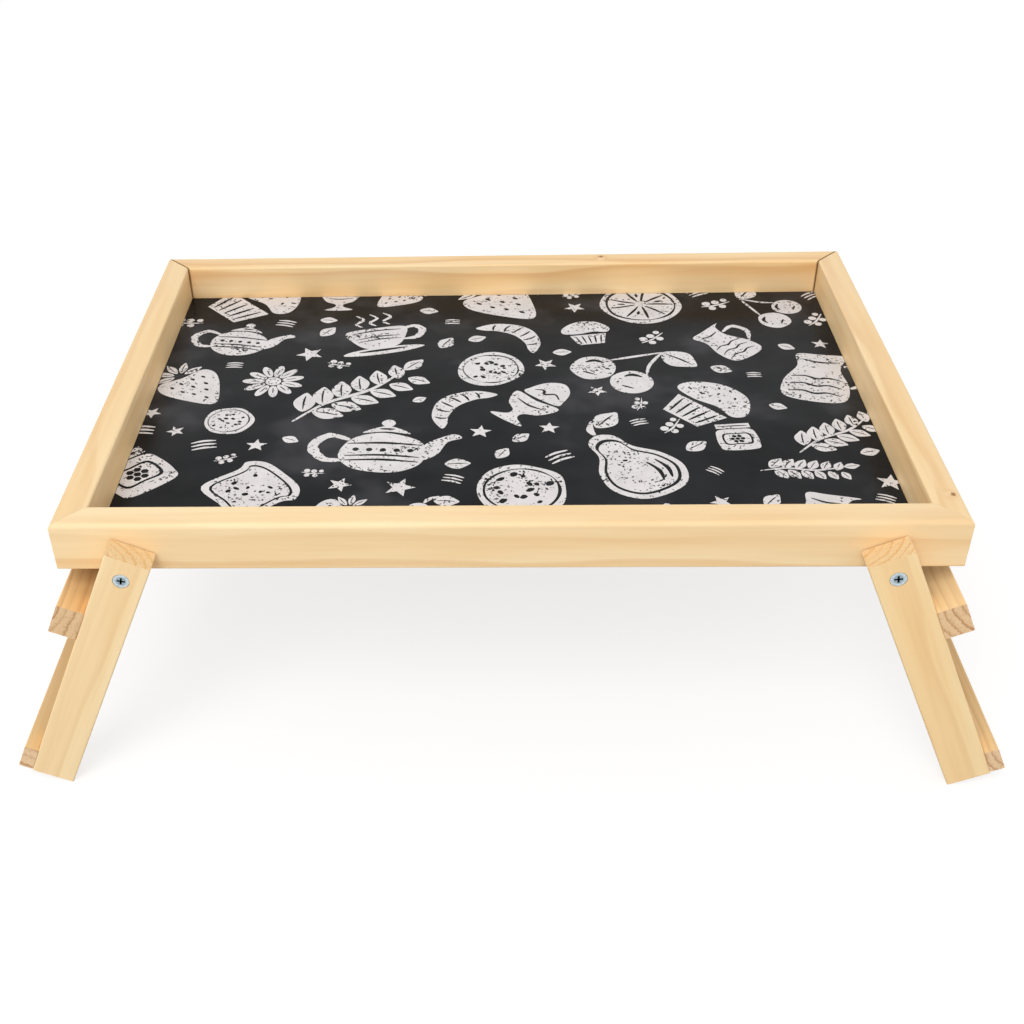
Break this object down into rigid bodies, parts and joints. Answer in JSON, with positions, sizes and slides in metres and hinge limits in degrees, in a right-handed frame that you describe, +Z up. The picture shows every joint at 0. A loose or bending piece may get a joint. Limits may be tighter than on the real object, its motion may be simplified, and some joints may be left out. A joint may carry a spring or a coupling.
{
  "type": "bed tray table",
  "caption": "Folding pine bed tray: a shallow mitred frame round a printed panel, on hinged end frames of legs joined by bars.",
  "frame": {"origin": "on the floor under the middle of the tray, with the legs at their open lean", "axes": "+Z up, X along the tray's long sides, the front towards -Y"},
  "size_m": [0.5946, 0.3718, 0.1853],
  "materials": {
    "pine": "planed pine, clear satin",
    "hardboard": "brown hardboard, bare below",
    "printed_film": "glossy charcoal laminate with pale prints",
    "zinc_steel": "zinc plated",
    "nail_steel": "bright drawn steel"
  },
  "bodies": {
    "tray": {"rail_front": "pine", "rail_back": "pine", "rail_left": "pine", "rail_right": "pine", "tray_board": "hardboard", "printed_film": "printed_film", "pivot_screw_front_left": "zinc_steel", "pivot_washer_front_left": "zinc_steel", "pivot_screw_back_left": "zinc_steel", "pivot_washer_back_left": "zinc_steel", "pivot_screw_front_right": "zinc_steel", "pivot_washer_front_right": "zinc_steel", "pivot_screw_back_right": "zinc_steel", "pivot_washer_back_right": "zinc_steel", "board_staples": "nail_steel", "corner_angles": "nail_steel"},
    "left_legs": {"leg_front_left": "pine", "leg_back_left": "pine", "stop_bar_left": "pine", "foot_bar_left": "pine", "stop_bar_brads_left": "nail_steel", "foot_bar_brads_left": "nail_steel"},
    "right_legs": {"leg_front_right": "pine", "leg_back_right": "pine", "stop_bar_right": "pine", "foot_bar_right": "pine", "stop_bar_brads_right": "nail_steel", "foot_bar_brads_right": "nail_steel"}
  },
  "joints": [
    {"name": "left_legs_fold", "type": "hinge", "parent": "tray", "child": "left_legs", "pos_m": [-0.21, 0, 0.15876], "axis": [0, 1, 0], "range_deg": [-116.9, 22]},
    {"name": "right_legs_fold", "type": "hinge", "parent": "tray", "child": "right_legs", "pos_m": [0.21, 0, 0.15876], "axis": [0, -1, 0], "range_deg": [-116.9, 22]}
  ]
}
